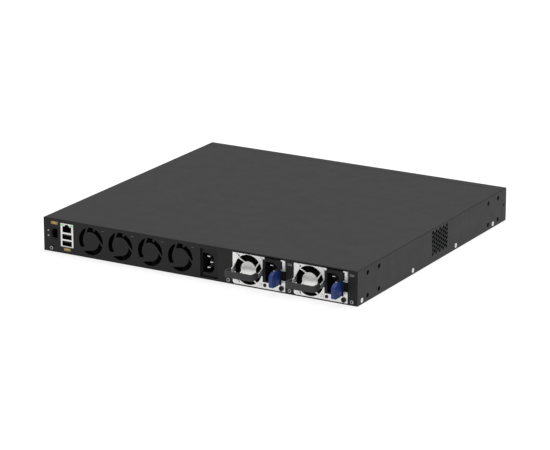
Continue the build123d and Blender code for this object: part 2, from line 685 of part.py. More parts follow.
def supply_handle(edge):
    """The strap handle: a U-shaped grip, slotted over the lugs of the face plate."""
    y0 = FACE_Y + FACE_T + HANDLE_GRIP
    y1 = FACE_Y + FACE_T + HANDLE_OUT
    x = (edge - HANDLE_X[1], edge - HANDLE_X[0])
    inner_x = (x[0] + HANDLE_T, x[1] - HANDLE_T)
    outer = block(x, (y0, y1), HANDLE_Z)
    outer = fillet(outer.edges().filter_by(Axis.Z).group_by(Axis.Y)[-1], HANDLE_R)
    inner = block(inner_x, (y0 - 1, y1 - HANDLE_T), (HANDLE_Z[0] - 1, HANDLE_Z[1] + 1))
    inner = fillet(inner.edges().filter_by(Axis.Z).group_by(Axis.Y)[-1], HANDLE_R - HANDLE_T)
    grip = outer - inner
    for x_lug, side in ((HANDLE_X[0] + HANDLE_T / 2, "left"), (HANDLE_X[1] - HANDLE_T / 2, "right")):
        grip -= handle_lug(edge, x_lug, side)
    return grip


def supply_latch(edge):
    """The release latch: a flared thumb paddle and an arm that turns on an upright pin."""
    root = (edge - 65.0, edge - 62.5)
    tip = (edge - 66.3, edge - 61.3)
    y_root = FACE_Y - 2.0
    y_tip = FACE_Y + FACE_T + LATCH_OUT
    outline = Polyline(
        (y_root, 10.6), (y_tip, 10.9), (y_tip, 25.6), (y_tip - 6.5, 29.2), (y_root, 26.2), close=True
    )
    plane = Plane((tip[0], 0, 0), x_dir=(0, 1, 0), z_dir=(1, 0, 0))
    paddle = extrude(plane * make_face(outline), amount=tip[1] - tip[0])
    tip_edges = paddle.edges().filter_by(Axis.X).group_by(Axis.Y)[-1]
    paddle = fillet(tip_edges, 2.6)
    for x in ((tip[0] - 1, root[0]), (root[1], tip[1] + 1)):
        paddle -= block(x, (y_root - 1, FACE_Y + FACE_T + 6.0), (0, 40))
    pivot_x = edge - LATCH_PIVOT[0]
    low, high = LATCH_ARM_Z
    arm = block((pivot_x - 1.6, root[1]), (LATCH_PIVOT[1] - 2.5, FACE_Y - 1.0), LATCH_ARM_Z)
    arm += rod(LATCH_BOSS_R, (pivot_x, LATCH_PIVOT[1], low), high, "z")
    arm -= rod(LATCH_HOLE_R, (pivot_x, LATCH_PIVOT[1], low - 1), high + 1, "z")
    return paddle + arm


def supply_latch_pin(edge):
    foot = (edge - LATCH_PIVOT[0], LATCH_PIVOT[1], SUPPLY_Z[0] + CASE_T)
    return rod(LATCH_PIN_R, foot, SUPPLY_Z[1] - CASE_T, "z")


def supply_board(edge):
    """The circuit board of a supply, its edge contacts ahead of the case, with its soldered parts."""
    x = (edge - SUPPLY_W + 3, edge - 3)
    middle = sum(x) / 2
    board_z = (SUPPLY_BOARD_Z, SUPPLY_BOARD_Z + BOARD_T)
    top = board_z[1]
    board = block(x, (SUPPLY_Y[0] + 2, 164), board_z)
    contact_tongue = block((middle - 24, middle + 24), (SUPPLY_Y[0] - 7, SUPPLY_Y[0] + 3), board_z)
    transformer = block((x[0] + 6, x[0] + 34), (96, 126), (top, top + 26))
    choke = block((x[0] + 40, x[0] + 62), (98, 122), (top, top + 24))
    board = board + contact_tongue + transformer + choke
    for sink_x in ((x[0] + 4, x[0] + 8), (x[1] - 8, x[1] - 4)):
        board += block(sink_x, (30, 84), (top, top + 27))
    for column in range(3):
        board += rod(7.0, (middle - 16 + 16 * column, 142, top), top + 28, "z")
        board += rod(4.5, (middle - 12 + 12 * column, 44, top), top + 20, "z")
    return board


# ---------------------------------------------------------------- power bay
def power_cage():
    """A folded sheet around the two bays: a roof and three walls, notched around the tray's screw tabs."""
    y = (BACKPLANE_Y + 8.0, REAR_IN - FIT)
    left = SUPPLY_X[0] + 1.0
    right = SUPPLY_X[1] - SUPPLY_W - 1.0
    middle = (SUPPLY_X[0] - SUPPLY_W + SUPPLY_X[1]) / 2
    cage = block((right - SHEET, left + SHEET), (y[0], y[1] - ROOF_SETBACK), CAGE_ROOF_Z)
    for x in ((left, left + SHEET), (middle - SHEET / 2, middle + SHEET / 2), (right - SHEET, right)):
        cage += block(x, y, (SHEET, CAGE_ROOF_Z[0]))
    for x in REAR_SCREWS_X[1:]:
        cage -= block((x - 6, x + 6), (REAR_IN - 6, REAR_IN), (0, FLANGE_H + 2))
    return cage


def power_backplane():
    """The upright power board across the bays and its two edge sockets."""
    x = (SUPPLY_X[1] - SUPPLY_W - 4, SUPPLY_X[0] + 4)
    pieces = [block(x, (BACKPLANE_Y - BOARD_T, BACKPLANE_Y), (SHEET + 4, 36))]
    slot_z = (SUPPLY_BOARD_Z - 0.4, SUPPLY_BOARD_Z + BOARD_T + 0.4)
    for edge in SUPPLY_X:
        middle = edge - SUPPLY_W / 2
        socket = block((middle - 27, middle + 27), (BACKPLANE_Y, BACKPLANE_Y + 7.5), (2.4, 9.6))
        socket -= block((middle - 24.5, middle + 24.5), (BACKPLANE_Y + 1.5, BACKPLANE_Y + 9), slot_z)
        pieces.append(socket)
    return pieces


# ---------------------------------------------------------------- boards and their parts
def main_board():
    """An L-shaped board: full width behind the ports, the fan side further back, a tongue to the jacks."""
    z = (BOARD_Z, BOARD_TOP)
    port_half = block((-212, 212), (-196, -2), z)
    fan_half = block((16, 212), (-2, 166), z)
    jack_tongue = block((174, 211.5), (166, 196), z)
    board = port_half + fan_half + jack_tongue
    for x, y in standoff_places():
        board -= rod(THREAD_HOLE_R, (x, y, 0), BOARD_TOP + 5, "z")
    return board


def standoff_places():
    """X and Y of the main board's fixings."""
    places = [(x, y) for x in (-205, -70, 80, 205) for y in (-140, -12)]
    places += [(x, y) for x in (24, 205) for y in (80, 158)]
    return places


def board_fasteners():
    """A hexagonal standoff and a round-head screw at each fixing of the main board."""
    post_r, head_r, head_h, screw_length = 3.2, 2.8, 1.8, 6.0
    pieces = []
    for x, y in standoff_places():
        post = extrude(Pos(x, y, SHEET) * RegularPolygon(post_r, 6), amount=BOARD_Z - SHEET)
        pieces.append(post - rod(THREAD_HOLE_R, (x, y, SHEET + 1), BOARD_Z + 1, "z"))
        head = rod(head_r, (x, y, BOARD_TOP), BOARD_TOP + head_h, "z")
        pieces.append(head + rod(THREAD_R, (x, y, BOARD_TOP - screw_length), BOARD_TOP, "z"))
    return pieces


def switch_chips():
    """The switch chip under its heat sink, and the six port chips under theirs."""
    chips = [block((-22, 22), (-110, -66), (BOARD_TOP, BOARD_TOP + SWITCH_CHIP_H))]
    for number in range(6):
        x = -188 + 15.5 * number
        chips.append(block((x, x + 11), (-160, -149), (BOARD_TOP, BOARD_TOP + PORT_CHIP_H)))
    return chips


def finned_sink(x, y, z, height, fins):
    """A heat sink: a base plate and upright fins along Y."""
    base, fin_t = 4.0, 1.2
    sink = block(x, y, (z, z + base))
    pitch = (x[1] - x[0] - fin_t) / (fins - 1)
    for number in range(fins):
        left = x[0] + number * pitch
        sink += block((left, left + fin_t), y, (z + base, z + height))
    return sink


def switch_heatsink():
    return finned_sink((-45, 45), (-128, -48), BOARD_TOP + SWITCH_CHIP_H, 26, 19)


def phy_heatsink():
    return finned_sink((-192, -96), (-166, -144), BOARD_TOP + PORT_CHIP_H, 14, 17)


def processor_module():
    """A small processor board lying over the main board on its connector, with its chip."""
    under = BOARD_TOP + 5
    board = block((70, 150), (-110, -40), (under, under + BOARD_T))
    connector = block((78, 142), (-108, -102), (BOARD_TOP, under))
    chip = block((95, 125), (-90, -60), (under + BOARD_T, BOARD_TOP + 16))
    return board + connector + chip


def memory_module():
    """A flat memory board in its socket, with four chips."""
    under = BOARD_TOP + 4
    top = under + 1.2
    module = block((80, 147.6), (2, 32), (under, top))
    module += block((78, 149.6), (-2, 4), (BOARD_TOP, top + 1))
    for number in range(4):
        x = 85 + 16 * number
        module += block((x, x + 11), (12, 26), (top, top + 1.2))
    return module


def board_components():
    """Two rows of capacitors and a row of square inductors that stand on the main board."""
    pieces = []
    for number in range(6):
        pieces.append(rod(4.0, (40 + 12 * number, 60, BOARD_TOP), BOARD_TOP + 11, "z"))
        pieces.append(rod(5.0, (40 + 14 * number, 140, BOARD_TOP), BOARD_TOP + 14, "z"))
    for number in range(5):
        x = 40 + 16 * number
        pieces.append(block((x, x + 11), (76, 87), (BOARD_TOP, BOARD_TOP + 6)))
    return pieces


def builtin_supply_board():
    """The board of the built-in supply behind the fixed inlet, on four posts."""
    board = block((-44, 8), (8, 160), (BOARD_Z, BOARD_TOP))
    for x in (-40, 4):
        for y in (14, 154):
            board += rod(3.0, (x, y, SHEET), BOARD_Z, "z")
    return board


def builtin_supply_components():
    """Transformer, choke, capacitors and heat sinks of the built-in supply."""
    top = BOARD_TOP
    transformer = block((-36, -6), (66, 96), (top, top + 24))
    choke = block((-34, -14), (124, 146), (top, top + 22))
    pieces = [transformer, choke]
    for number in range(2):
        pieces.append(rod(9.0, (-26 + 22 * number, 110, top), top + 27, "z"))
        pieces.append(rod(5.0, (-30 + 16 * number, 24, top), top + 18, "z"))
    for sink_x in ((-42, -39), (2, 5)):
        pieces.append(block(sink_x, (30, 100), (top, top + 26)))
    return pieces


# ---------------------------------------------------------------- front ports
def copper_ports():
    """Centre X and lower Z of each front copper port, and where its notch is: 1 above, -1 below."""
    ports = []
    for column in range(PORT_COLUMNS):
        x = COPPER_X + (column + 0.5) * COPPER_PITCH
        ports.append((x, COPPER_Z[0] + 3.4, -1))
        ports.append((x, COPPER_Z[1] - 3.4 - RJ_H, 1))
    return ports


def copper_port_shield():
    x = (COPPER_X, COPPER_X + PORT_COLUMNS * COPPER_PITCH)
    y = (-HALF_D - 0.4, -HALF_D + COPPER_DEPTH)
    wall = 0.4
    inner_x = (x[0] + wall, x[1] - wall)
    shield = block(x, y, COPPER_Z)
    shield -= block(inner_x, (y[0] + wall, y[1] + 1), (COPPER_Z[0] - 1, COPPER_Z[1] - wall))
    return shield - [punch(rj_drawing(*port), y[0] - 1, y[0] + 2) for port in copper_ports()]


def copper_port_housing():
    wall = 0.4
    x = (COPPER_X + wall, COPPER_X + PORT_COLUMNS * COPPER_PITCH - wall)
    y = (-HALF_D - 0.4 + wall, -HALF_D + COPPER_DEPTH - 1)
    housing = block(x, y, (COPPER_Z[0], COPPER_Z[1] - wall))
    return housing - [punch(rj_drawing(*port), y[0] - 1, y[0] + 13) for port in copper_ports()]


def copper_port_contacts():
    """Eight spring contacts in each copper port, on the side away from the latch notch."""
    contacts = []
    y0 = -HALF_D + 4
    for x, bottom, sign in copper_ports():
        z = bottom if sign > 0 else bottom + RJ_H - 0.5
        for number in range(8):
            pin = x + (number - 3.5) * 1.02
            contacts.append(block((pin - 0.2, pin + 0.2), (y0, -HALF_D + 13), (z, z + 0.5)))
    return contacts


def fiber_ports():
    """Centre X and centre Z of each front fibre port."""
    row_pitch = (FIBER_Z[1] - FIBER_Z[0]) / PORT_ROWS
    places = []
    for column in range(PORT_COLUMNS):
        for row in range(PORT_ROWS):
            places.append((FIBER_X + (column + 0.5) * FIBER_PITCH, FIBER_Z[0] + (row + 0.5) * row_pitch))
    return places


def fiber_cage():
    x = (FIBER_X, FIBER_X + PORT_COLUMNS * FIBER_PITCH)
    y = (-HALF_D - 0.6, -HALF_D + FIBER_DEPTH)
    cage = block(x, y, FIBER_Z)
    openings = [Pos(*place) * Rectangle(*FIBER_OPENING) for place in fiber_ports()]
    return cage - [punch(opening, y[0] - 1, y[1] - 0.6) for opening in openings]


def fiber_connectors():
    """The edge socket at the back of each fibre port."""
    pieces = []
    y1 = -HALF_D + FIBER_DEPTH - 0.6
    for x, z in fiber_ports():
        socket = block((x - 5.4, x + 5.4), (y1 - 9, y1), (z - FIBER_OPENING[1] / 2, z + 1.6))
        socket -= block((x - 4.4, x + 4.4), (y1 - 10, y1 - 2), (z - 1.2, z + 0.2))
        pieces.append(socket)
    return pieces


def push_button(x):
    """A front button: a round cap, and a collar behind the panel that keeps it in."""
    inside = -HALF_D + SHEET
    button = rod(BUTTON_R, (x, -HALF_D - 0.9, BUTTON_Z), inside + 0.5, "y")
    button = fillet(button.edges().sort_by(Axis.Y)[0], 0.4)
    button += rod(BUTTON_R + 1.0, (x, inside + 0.1, BUTTON_Z), inside + 1.4, "y")
    return button + rod(1.2, (x, inside + 1.4, BUTTON_Z), inside + 4.0, "y")


# ---------------------------------------------------------------- writing
def write_chassis():
    write("base_tray", base_tray())
    write("top_cover", top_cover())
    write("rear_panel", rear_panel())
    write("front_panel", front_panel())
    write("cover_screws", cover_screws())
    write("rear_screws", rear_screws())
    write("light_pipes", light_pipes())
    write("port_labels", port_labels())
    write("power_cage", power_cage())
    write("power_backplane", power_backplane())


def write_boards():
    write("main_board", main_board())
    write("board_fasteners", board_fasteners())
    write("switch_chips", switch_chips())
    write("switch_heatsink", switch_heatsink())
    write("phy_heatsink", phy_heatsink())
    write("processor_module", processor_module())
    write("memory_module", memory_module())
    write("board_components", board_components())
    write("builtin_supply_board", builtin_supply_board())
    write("builtin_supply_components", builtin_supply_components())


def write_ports():
    write("copper_port_shield", copper_port_shield())
    write("copper_port_housing", copper_port_housing())
    write("copper_port_contacts", copper_port_contacts())
    write("fiber_cage", fiber_cage())
    write("fiber_connectors", fiber_connectors())
    write("rear_port_shell", rear_port_shell())
    write("rear_port_housing", rear_port_housing())
    write("console_port", console_port())
    write("power_inlet", power_inlet())
    write("power_inlet_pins", power_inlet_pins())
    for name, x in BUTTONS:
        write(name, push_button(x))


def write_system_fans():
    for number, x in enumerate(FANS_X, start=1):
        frame = fan_frame(x, FAN_Z, FAN_FRONT, FAN_SIDE, FAN_LENGTH, FAN_BORE_R, FAN_BOLT)
        write(f"fan{number}_frame", frame)
        write(f"fan{number}_rotor", fan_rotor(x, FAN_Z, FAN_FRONT, FAN_LENGTH, FAN_BORE_R, 7))


def write_supply(number, edge):
    name = f"supply{number}_"
    fan_x = edge - SUPPLY_FAN_X
    fan_y = FACE_Y - FIT - FAN_LENGTH
    write(name + "case", supply_case(edge))
    write(name + "face", supply_face(edge))
    write(name + "screws", supply_screws(edge))
    write(name + "inlet", supply_inlet(edge))
    write(name + "inlet_pins", supply_inlet_pins(edge))
    write(name + "handle", supply_handle(edge))
    write(name + "latch", supply_latch(edge))
    write(name + "board", supply_board(edge))
    bore_r = SUPPLY_FAN_BORE_R
    frame = fan_frame(fan_x, SUPPLY_FAN_Z, fan_y, SUPPLY_FAN_SIDE, FAN_LENGTH, bore_r, SUPPLY_FAN_BOLT)
    write(name + "fan_frame", frame)
    write(name + "fan_rotor", fan_rotor(fan_x, SUPPLY_FAN_Z, fan_y, FAN_LENGTH, bore_r, 7))


os.makedirs("parts", exist_ok=True)
write_chassis()
write_boards()
write_ports()
write_system_fans()
for supply_number, supply_edge in enumerate(SUPPLY_X, start=1):
    write_supply(supply_number, supply_edge)
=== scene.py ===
import json
import math

import bmesh
import bpy
from mathutils import Matrix, Vector


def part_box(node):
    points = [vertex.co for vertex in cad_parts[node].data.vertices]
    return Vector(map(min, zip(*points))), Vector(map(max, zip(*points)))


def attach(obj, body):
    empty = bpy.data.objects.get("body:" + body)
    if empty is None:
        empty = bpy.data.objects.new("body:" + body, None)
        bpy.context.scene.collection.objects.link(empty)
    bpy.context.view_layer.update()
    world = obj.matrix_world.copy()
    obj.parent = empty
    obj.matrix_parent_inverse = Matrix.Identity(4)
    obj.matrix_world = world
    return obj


# Rackmount network switch. Metres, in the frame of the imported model: +Z up, ports towards -Y, fans and
# power supplies towards +Y, the chassis' underside centred on the origin.

MM = 0.001

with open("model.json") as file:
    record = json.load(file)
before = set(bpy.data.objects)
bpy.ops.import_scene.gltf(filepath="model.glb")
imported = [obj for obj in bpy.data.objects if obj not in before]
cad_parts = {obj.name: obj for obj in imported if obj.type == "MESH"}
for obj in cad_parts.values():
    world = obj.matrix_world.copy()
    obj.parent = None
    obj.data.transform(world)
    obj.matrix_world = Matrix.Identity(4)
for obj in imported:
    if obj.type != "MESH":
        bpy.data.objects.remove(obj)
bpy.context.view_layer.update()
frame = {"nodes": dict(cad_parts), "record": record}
nodes = frame["nodes"]
record = frame["record"]

REAR_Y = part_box("rear_panel")[1].y
FRONT_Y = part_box("front_panel")[0].y
REAR_SCREWS_X = (208.2 * MM, -45.8 * MM, -129.65 * MM, -213.0 * MM)
POSTS_X = (-129.4 * MM, -212.4 * MM)        # the panel's posts beside the supplies
SCREW_Z = 4.9 * MM
SOCKET_R = 1.26 * MM
USB_HEIGHTS = (13.3 * MM, 21.9 * MM)
FANS_X = [(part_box(f"fan{n}_frame")[0].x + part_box(f"fan{n}_frame")[1].x) / 2 for n in (1, 2, 3, 4)]
SUPPLY_EDGES = [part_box(f"supply{n}_face")[1].x for n in (1, 2)]


# ---------------------------------------------------------------- material helpers
class Nodes:
    """A material's node tree, with short ways to add and join nodes."""

    def __init__(self, name):
        self.material = bpy.data.materials.new(name)
        self.material.use_nodes = True
        self.tree = self.material.node_tree
        self.shader = self.tree.nodes["Principled BSDF"]
        self.coords = self.add("ShaderNodeTexCoord").outputs["Object"]

    def add(self, kind, **settings):
        node = self.tree.nodes.new(kind)
        for key, value in settings.items():
            setattr(node, key, value)
        return node

    def join(self, output, node, socket):
        self.tree.links.new(output, node.inputs[socket])

    def set(self, **values):
        """Constants on the shader's own sockets; underscores in a name stand for spaces."""
        for key, value in values.items():
            self.shader.inputs[key.replace("_", " ")].default_value = value

    def noise(self, scale, detail=3.0, stretch=(1, 1, 1), roughness=0.55):
        """A noise value from 0 to 1; scale is in cycles per metre."""
        mapping = self.add("ShaderNodeMapping")
        mapping.inputs["Scale"].default_value = stretch
        self.join(self.coords, mapping, "Vector")
        noise = self.add("ShaderNodeTexNoise")
        noise.inputs["Scale"].default_value = scale
        noise.inputs["Detail"].default_value = detail
        noise.inputs["Roughness"].default_value = roughness
        self.join(mapping.outputs["Vector"], noise, "Vector")
        return noise.outputs["Fac"]

    def ribs(self, pitch, axis):
        """Fine parallel ribs across one axis, a value from 0 to 1."""
        wave = self.add("ShaderNodeTexWave", wave_type="BANDS", bands_direction=axis)
        wave.inputs["Scale"].default_value = math.pi / 10 / pitch
        wave.inputs["Distortion"].default_value = 0.0
        self.join(self.coords, wave, "Vector")
        return wave.outputs["Fac"]

    def spread(self, value, low, high):
        """Maps 0..1 onto low..high."""
        node = self.add("ShaderNodeMapRange")
        node.inputs["To Min"].default_value = low
        node.inputs["To Max"].default_value = high
        self.join(value, node, "Value")
        return node.outputs["Result"]

    def blend(self, value, first, second, low=0.35, high=0.65):
        """A colour that goes from first to second as the value goes from low to high."""
        ramp = self.add("ShaderNodeValToRGB")
        ramp.color_ramp.elements[0].position = low
        ramp.color_ramp.elements[0].color = (*first, 1)
        ramp.color_ramp.elements[1].position = high
        ramp.color_ramp.elements[1].color = (*second, 1)
        self.join(value, ramp, "Fac")
        return ramp.outputs["Color"]

    def rounded(self, radius):
        """A normal that rounds sharp edges over the given radius."""
        bevel = self.add("ShaderNodeBevel", samples=4)
        bevel.inputs["Radius"].default_value = radius
        return bevel.outputs["Normal"]

    def bump(self, height, distance, strength=1.0, normal=None):
        node = self.add("ShaderNodeBump")
        node.inputs["Strength"].default_value = strength
        node.inputs["Distance"].default_value = distance
        self.join(height, node, "Height")
        if normal is not None:
            self.join(normal, node, "Normal")
        return node.outputs["Normal"]


def powder_coat(name, tone, lift):
    """Fine-textured powder coat: small grains, a faint mottle and slightly uneven gloss."""
    m = Nodes(name)
    grain = m.noise(1900, 2.0)
    mottle = m.noise(14, 4.0)
    lighter = tuple(c * lift for c in tone)
    m.join(m.blend(mottle, tone, lighter, 0.3, 0.7), m.shader, "Base Color")
    m.join(m.spread(m.noise(60, 3.0), 0.50, 0.62), m.shader, "Roughness")
    m.join(m.bump(grain, 0.06 * MM, 0.45, m.rounded(0.5 * MM)), m.shader, "Normal")
    m.set(Specular_IOR_Level=0.30)
    return m.material


def sheet_metal(name, tone, roughness, brushed_along="X", lift=1.08, edge=0.25):
    """Plated sheet steel with fine rolling lines along one axis and faint cloudy spots."""
    m = Nodes(name)
    stretch = {"X": (0.02, 1, 1), "Y": (1, 0.02, 1), "Z": (1, 1, 0.02)}[brushed_along]
    lines = m.noise(1500, 3.0, stretch)
    clouds = m.noise(90, 4.0)
    lighter = tuple(min(1.0, c * lift) for c in tone)
    m.join(m.blend(clouds, tone, lighter), m.shader, "Base Color")
    m.join(m.spread(lines, roughness - 0.05, roughness + 0.09), m.shader, "Roughness")
    m.join(m.bump(lines, 0.02 * MM, 0.25, m.rounded(edge * MM)), m.shader, "Normal")
    m.set(Metallic=1.0)
    return m.material


def spangled_zinc(name, tone):
    """Galvanised sheet: flat crystals a few millimetres across, each with its own tone and gloss."""
    m = Nodes(name)
    cells = m.add("ShaderNodeTexVoronoi")
    cells.inputs["Scale"].default_value = 240
    m.join(m.coords, cells, "Vector")
    split = m.add("ShaderNodeSeparateColor")
    m.join(cells.outputs["Color"], split, "Color")
    value = split.outputs["Red"]
    darker = tuple(c * 0.82 for c in tone)
    m.join(m.blend(value, darker, tone, 0.0, 1.0), m.shader, "Base Color")
    m.join(m.spread(value, 0.34, 0.50), m.shader, "Roughness")
    m.join(m.bump(m.noise(700, 2.0), 0.02 * MM, 0.3, m.rounded(0.25 * MM)), m.shader, "Normal")
    m.set(Metallic=1.0)
    return m.material


def moulded(name, tone, roughness, grain_scale=1600, grain=0.04, edge=0.3, lift=1.35, gloss=0.45):
    """Moulded plastic with a fine spark-eroded grain."""
    m = Nodes(name)
    lighter = tuple(c * lift for c in tone)
    m.join(m.blend(m.noise(220, 3.0), tone, lighter), m.shader, "Base Color")
    m.join(m.spread(m.noise(400, 2.0), roughness - 0.04, roughness + 0.06), m.shader, "Roughness")
    m.join(m.bump(m.noise(grain_scale, 2.0), grain * MM, 0.5, m.rounded(edge * MM)), m.shader, "Normal")
    m.set(Specular_IOR_Level=gloss)
    return m.material


def ribbed_grip(name, tone):
    """The handle's dark grip: fine upright ribs over a soft-touch grain, with the grooves between the
    ribs darker as painted shade.
    """
    m = Nodes(name)
    ribs = m.ribs(1.1 * MM, "X")
    darker = tuple(c * 0.72 for c in tone)
    # The grooves between the ribs take the darker tone: painted shade.
    m.join(m.blend(ribs, darker, tone, 0.1, 0.9), m.shader, "Base Color")
    m.join(m.spread(m.noise(500, 2.0), 0.52, 0.66), m.shader, "Roughness")
    grained = m.bump(m.noise(1800, 2.0), 0.03 * MM, 0.4, m.rounded(0.4 * MM))
    m.join(m.bump(ribs, 0.18 * MM, 0.7, grained), m.shader, "Normal")
    return m.material


def turned_metal(name, tone, roughness):
    """A plated, turned part such as a screw head."""
    m = Nodes(name)
    m.join(m.blend(m.noise(900, 3.0), tuple(c * 0.85 for c in tone), tone), m.shader, "Base Color")
    m.join(m.spread(m.noise(2500, 2.0), roughness - 0.05, roughness + 0.08), m.shader, "Roughness")
    m.join(m.bump(m.noise(3000, 2.0), 0.01 * MM, 0.3, m.rounded(0.15 * MM)), m.shader, "Normal")
    m.set(Metallic=1.0)
    return m.material


def lens(name, tone, glow=0.0):
    """A small moulded light window; a lit one also glows."""
    m = Nodes(name)
    m.join(m.blend(m.noise(900, 2.0), tuple(c * 0.85 for c in tone), tone), m.shader, "Base Color")
    m.join(m.spread(m.noise(1200, 2.0), 0.12, 0.24), m.shader, "Roughness")
    m.join(m.bump(m.noise(1500, 1.0), 0.01 * MM, 0.2, m.rounded(0.15 * MM)), m.shader, "Normal")
    m.set(Coat_Weight=0.6, Coat_Roughness=0.08)
    if glow:
        m.set(Emission_Color=(*tone, 1), Emission_Strength=glow)
    return m.material


def printed(name, tone, lift=1.25, roughness=0.45):
    """A thin printed patch: slightly uneven ink over a satin film."""
    m = Nodes(name)
    lighter = tuple(min(1.0, c * lift) for c in tone)
    m.join(m.blend(m.noise(800, 4.0), tone, lighter), m.shader, "Base Color")
    m.join(m.spread(m.noise(1500, 2.0), roughness - 0.08, roughness + 0.08), m.shader, "Roughness")
    m.join(m.bump(m.noise(2600, 2.0), 0.01 * MM, 0.3), m.shader, "Normal")
    return m.material


def circuit_board(name, tone):
    """Solder mask over copper runs: blocky lighter traces and a scatter of bright pads."""
    m = Nodes(name)
    traces = m.add("ShaderNodeTexBrick")
    traces.inputs["Scale"].default_value = 160
    traces.inputs["Mortar Size"].default_value = 0.06
    traces.inputs["Color1"].default_value = (*tone, 1)
    traces.inputs["Color2"].default_value = (*(c * 0.8 for c in tone), 1)
    traces.inputs["Mortar"].default_value = (*(min(1, c * 2.1) for c in tone), 1)
    m.join(m.coords, traces, "Vector")
    pads = m.add("ShaderNodeTexVoronoi")
    pads.inputs["Scale"].default_value = 420
    m.join(m.coords, pads, "Vector")
    pad = m.add("ShaderNodeMath", operation="LESS_THAN")
    pad.inputs[1].default_value = 0.16
    m.join(pads.outputs["Distance"], pad, 0)
    mix = m.add("ShaderNodeMix", data_type="RGBA")
    m.join(pad.outputs[0], mix, 0)
    m.join(traces.outputs["Color"], mix, 6)
    mix.inputs[7].default_value = (0.62, 0.55, 0.36, 1)
    m.join(mix.outputs[2], m.shader, "Base Color")
    m.join(m.spread(m.noise(300, 2.0), 0.30, 0.42), m.shader, "Roughness")
    m.join(m.bump(traces.outputs["Fac"], 0.03 * MM, 0.6), m.shader, "Normal")
    return m.material


def banded_component(name, tone):
    """Soldered parts: dark sleeves and cores with a paler band now and then."""
    m = Nodes(name)
    bands = m.ribs(9 * MM, "Z")
    pale = tuple(min(1.0, c * 3.2) for c in tone)
    m.join(m.blend(bands, tone, pale, 0.86, 0.92), m.shader, "Base Color")
    m.join(m.spread(m.noise(300, 3.0), 0.28, 0.45), m.shader, "Roughness")
    m.join(m.bump(m.noise(900, 3.0), 0.05 * MM, 0.4, m.rounded(0.4 * MM)), m.shader, "Normal")
    return m.material


MATERIALS = {
    "painted_steel": powder_coat("painted_steel", (0.013, 0.013, 0.0135), 1.12),
    # rear_steel is the same powder coat as painted_steel in a darker tone: painted shade for the rear
    # panel, which gets less light.
    "rear_steel": powder_coat("rear_steel", (0.0050, 0.0050, 0.0053), 1.12),
    "bright_steel": sheet_metal("bright_steel", (0.76, 0.76, 0.75), 0.44, "Z"),
    "zinc_steel": spangled_zinc("zinc_steel", (0.62, 0.63, 0.65)),
    "jack_shell": sheet_metal("jack_shell", (0.72, 0.72, 0.71), 0.42, "Z"),
    "screw_zinc": turned_metal("screw_zinc", (0.82, 0.82, 0.83), 0.30),
    "screw_dark": turned_metal("screw_dark", (0.36, 0.36, 0.37), 0.40),
    "black_plastic": moulded("black_plastic", (0.0060, 0.0060, 0.0065), 0.50, gloss=0.22),
    "grip_plastic": ribbed_grip("grip_plastic", (0.022, 0.022, 0.023)),
    "blue_plastic": moulded("blue_plastic", (0.006, 0.024, 0.135), 0.40, 1300, 0.05, 0.5, 1.12),
    "fan_plastic": moulded("fan_plastic", (0.0035, 0.0035, 0.0040), 0.50, gloss=0.18),
    "light_pipe": lens("light_pipe", (0.34, 0.35, 0.34)),
    "gold_label": printed("gold_label", (0.27, 0.165, 0.026)),
    "circuit_board": circuit_board("circuit_board", (0.010, 0.085, 0.028)),
    "chip_plastic": moulded("chip_plastic", (0.018, 0.018, 0.020), 0.5, 1800, 0.03, 0.2),
    "heatsink_aluminium": sheet_metal("heatsink_aluminium", (0.60, 0.60, 0.61), 0.42, "Y"),
    "contact_brass": turned_metal("contact_brass", (0.86, 0.62, 0.24), 0.26),
    "component_mix": banded_component("component_mix", (0.055, 0.055, 0.075)),
    "lit_green": lens("lit_green", (0.22, 0.60, 0.26), 0.15),
    "mark_grey": printed("mark_grey", (0.26, 0.26, 0.27)),
    "mark_dim": printed("mark_dim", (0.18, 0.18, 0.185)),
    "mark_faint": printed("mark_faint", (0.045, 0.045, 0.047)),
    "label_paper": printed("label_paper", (0.70, 0.70, 0.68), 1.08, 0.55),
    # Near-black: the supply's black corner screw, and painted shade in the rear screws' sockets.
    "black_screw_and_socket_shade": turned_metal("black_screw_and_socket_shade", (0.030, 0.030, 0.032), 0.42),
    "lamp_window": moulded("lamp_window", (0.0060, 0.0065, 0.0055), 0.45, gloss=0.18),
    "label_ink": printed("label_ink", (0.46, 0.38, 0.20)),
}


def finish_node(node, material):
    """Gives a CAD node its material."""
    obj = nodes[node]
    obj.data.materials.clear()
    obj.data.materials.append(material)


def paint_part(node, low, high, material):
    """Paints the faces of a CAD node whose centres lie in a box."""
    obj = nodes[node]
    mesh = obj.data
    finish = MATERIALS[material]
    if finish.name not in mesh.materials:
        mesh.materials.append(finish)
    index = mesh.materials.find(finish.name)
    for face in mesh.polygons:
        place = obj.matrix_world @ face.center
        if all(low[axis] <= place[axis] <= high[axis] for axis in range(3)):
            face.material_index = index


for subpart in record["subparts"]:
    finish_node(subpart["node"], MATERIALS[subpart["material_slot"]])


# ---------------------------------------------------------------- mesh helpers
def new_piece(name, mesh_builder, material, body, smooth=True):
    """A piece from a bmesh, with its material, riding on a body and taking its finish from a slot."""
    mesh = bpy.data.meshes.new(name)
    mesh_builder.normal_update()
    mesh_builder.to_mesh(mesh)
    mesh_builder.free()
    mesh.materials.append(MATERIALS[material])
    for face in mesh.polygons:
        face.use_smooth = smooth
    piece = bpy.data.objects.new(name, mesh)
    bpy.context.scene.collection.objects.link(piece)
    if smooth:
        piece.data.set_sharp_from_angle(angle=math.radians(35))
    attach(piece, body)
    return piece


def add_prism(mesh, outline, y_from, y_to):
    """Adds a closed prism to a bmesh: an outline in X and Z, between two Y values."""
    near = [mesh.verts.new((x, y_to, z)) for x, z in outline]
    far = [mesh.verts.new((x, y_from, z)) for x, z in outline]
    faces = [mesh.faces.new(near), mesh.faces.new(list(reversed(far)))]
    count = len(outline)
    for i in range(count):
        j = (i + 1) % count
        faces.append(mesh.faces.new((near[j], near[i], far[i], far[j])))
    bmesh.ops.recalc_face_normals(mesh, faces=faces)
    return near


